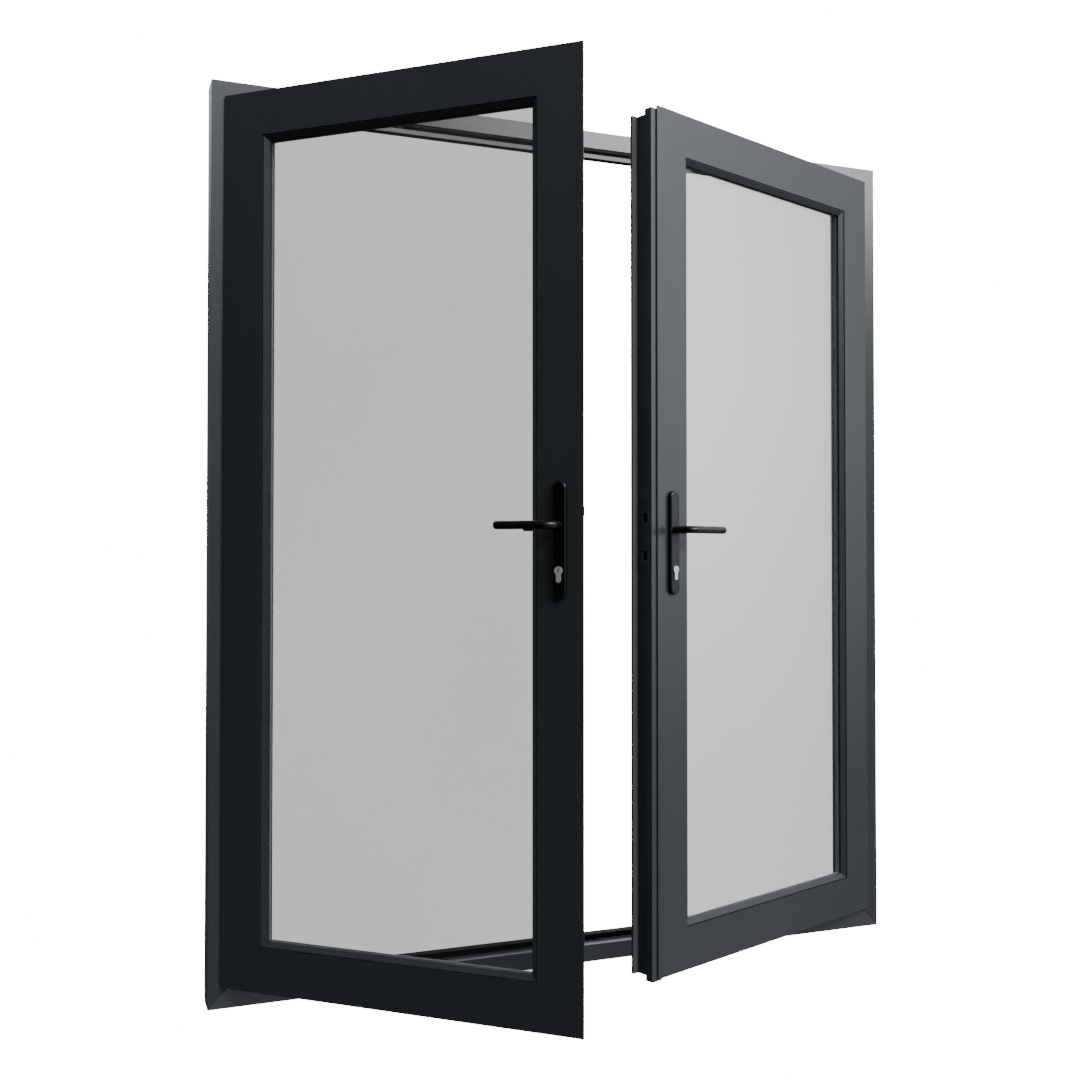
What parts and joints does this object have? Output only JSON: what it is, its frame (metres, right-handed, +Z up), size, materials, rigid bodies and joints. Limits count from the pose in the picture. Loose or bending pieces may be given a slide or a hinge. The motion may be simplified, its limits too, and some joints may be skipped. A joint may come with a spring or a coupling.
{
  "type": "french doors",
  "caption": "French doors: glazed aluminium leaves hung on concealed hinges in a full frame, with lever handles, a multipoint lock and a floating mullion.",
  "frame": {"origin": "middle of the underside of the threshold, half way through the frame's depth", "axes": "+X to the right along the threshold, +Y away from the side the leaves open to, +Z up"},
  "size_m": [1.8, 0.6506, 2.1],
  "materials": {
    "profile": "satin powder coat, anthracite grey",
    "seal": "matt black",
    "strip": "matt grey",
    "nylon": "matt black",
    "glass": "clear, slightly grey",
    "steel": "zinc plated",
    "spacer": "mill finish",
    "handle": "satin black",
    "nickel": "satin nickel"
  },
  "bodies": {
    "frame": {"frame_head": "profile", "frame_jamb_left": "profile", "frame_jamb_right": "profile", "frame_threshold": "profile", "frame_gasket": "strip", "threshold_seal": "seal", "frame_corner_cleats": "spacer", "hinge_housings": "steel", "hinge_pins": "steel", "shootbolt_keeps": "steel"},
    "left_leaf": {"left_hinge_stile": "profile", "left_lock_stile": "profile", "left_top_rail": "profile", "left_bottom_rail": "profile", "left_beads_rail": "profile", "left_beads_stile": "profile", "left_glass_panes": "glass", "left_glass_spacer": "nylon", "left_glazing_gaskets": "seal", "left_hinge_arms": "steel", "left_lock_case": "steel", "left_cylinder": "nickel", "left_front_plate": "handle", "left_back_plate": "handle", "left_handle_bolts": "steel", "left_lock_faceplate": "steel", "left_meeting_seal": "seal"},
    "left_handle": {"left_front_lever": "handle", "left_back_lever": "handle", "left_spindle": "steel", "left_follower": "steel"},
    "left_latch": {"left_latch": "steel"},
    "left_deadbolt": {"left_deadbolt": "steel"},
    "left_key_plug": {"left_cylinder_plug": "nickel"},
    "right_leaf": {"right_hinge_stile": "profile", "right_lock_stile": "profile", "right_top_rail": "profile", "right_bottom_rail": "profile", "right_beads_rail": "profile", "right_beads_stile": "profile", "right_glass_panes": "glass", "right_glass_spacer": "nylon", "right_glazing_gaskets": "seal", "right_hinge_arms": "steel", "right_lock_case": "steel", "right_cylinder": "nickel", "right_front_plate": "handle", "right_back_plate": "handle", "right_handle_bolts": "steel", "right_mullion": "profile", "right_mullion_caps": "nylon", "right_strike_plate": "profile"},
    "right_handle": {"right_front_lever": "handle", "right_back_lever": "handle", "right_spindle": "steel", "right_follower": "steel"},
    "right_key_plug": {"right_cylinder_plug": "nickel"},
    "right_shootbolt_top": {"right_shootbolt_top": "steel"},
    "right_shootbolt_bottom": {"right_shootbolt_bottom": "steel"}
  },
  "joints": [
    {"name": "left_leaf_swing", "type": "hinge", "parent": "frame", "child": "left_leaf", "pos_m": [-0.871, -0.0254, 1.056], "axis": [0, 0, 1], "range_deg": [-52.4, 41.6]},
    {"name": "right_leaf_swing", "type": "hinge", "parent": "frame", "child": "right_leaf", "pos_m": [0.871, -0.0254, 1.056], "axis": [0, 0, 1], "range_deg": [-21.1, 72.9]},
    {"name": "left_lever_turn", "type": "hinge", "parent": "left_leaf", "child": "left_handle", "pos_m": [-0.25041, -0.55546, 1.079], "axis": [-0.6639, -0.7478, 0], "range_deg": [0, 40], "stiffness_Nm_per_rad": 1.2, "springref_deg": -28.65},
    {"name": "left_latch_slide", "type": "slide", "parent": "left_leaf", "child": "left_latch", "axis": [-0.7478, 0.6639, 0], "range_m": [0, 0.009]},
    {"name": "left_key_turn", "type": "hinge", "parent": "left_leaf", "child": "left_key_plug", "pos_m": [-0.25041, -0.55546, 0.987], "axis": [0.6639, 0.7478, 0], "range_deg": [0, 360]},
    {"name": "left_deadbolt_slide", "type": "slide", "parent": "left_leaf", "child": "left_deadbolt", "axis": [0.7478, -0.6639, 0], "range_m": [0, 0.02]},
    {"name": "right_lever_turn", "type": "hinge", "parent": "right_leaf", "child": "right_handle", "pos_m": [0.10408, -0.30456, 1.079], "axis": [0.36, -0.933, 0], "range_deg": [0, 60]},
    {"name": "right_shootbolt_top_slide", "type": "slide", "parent": "right_leaf", "child": "right_shootbolt_top", "axis": [0, 0, 1], "range_m": [0, 0.018]},
    {"name": "right_shootbolt_bottom_slide", "type": "slide", "parent": "right_leaf", "child": "right_shootbolt_bottom", "axis": [0, 0, -1], "range_m": [0, 0.018]},
    {"name": "right_key_turn", "type": "hinge", "parent": "right_leaf", "child": "right_key_plug", "pos_m": [0.10408, -0.30456, 0.987], "axis": [0.36, -0.933, 0], "range_deg": [0, 360]}
  ],
  "couplings": [
    {"joint": "left_latch_slide", "follows": "left_lever_turn", "m_per_rad": 0.012892},
    {"joint": "left_key_turn", "follows": "left_deadbolt_slide", "rad_per_m": 314.16},
    {"joint": "right_shootbolt_top_slide", "follows": "right_lever_turn", "m_per_rad": 0.017189},
    {"joint": "right_shootbolt_bottom_slide", "follows": "right_lever_turn", "m_per_rad": 0.017189}
  ]
}
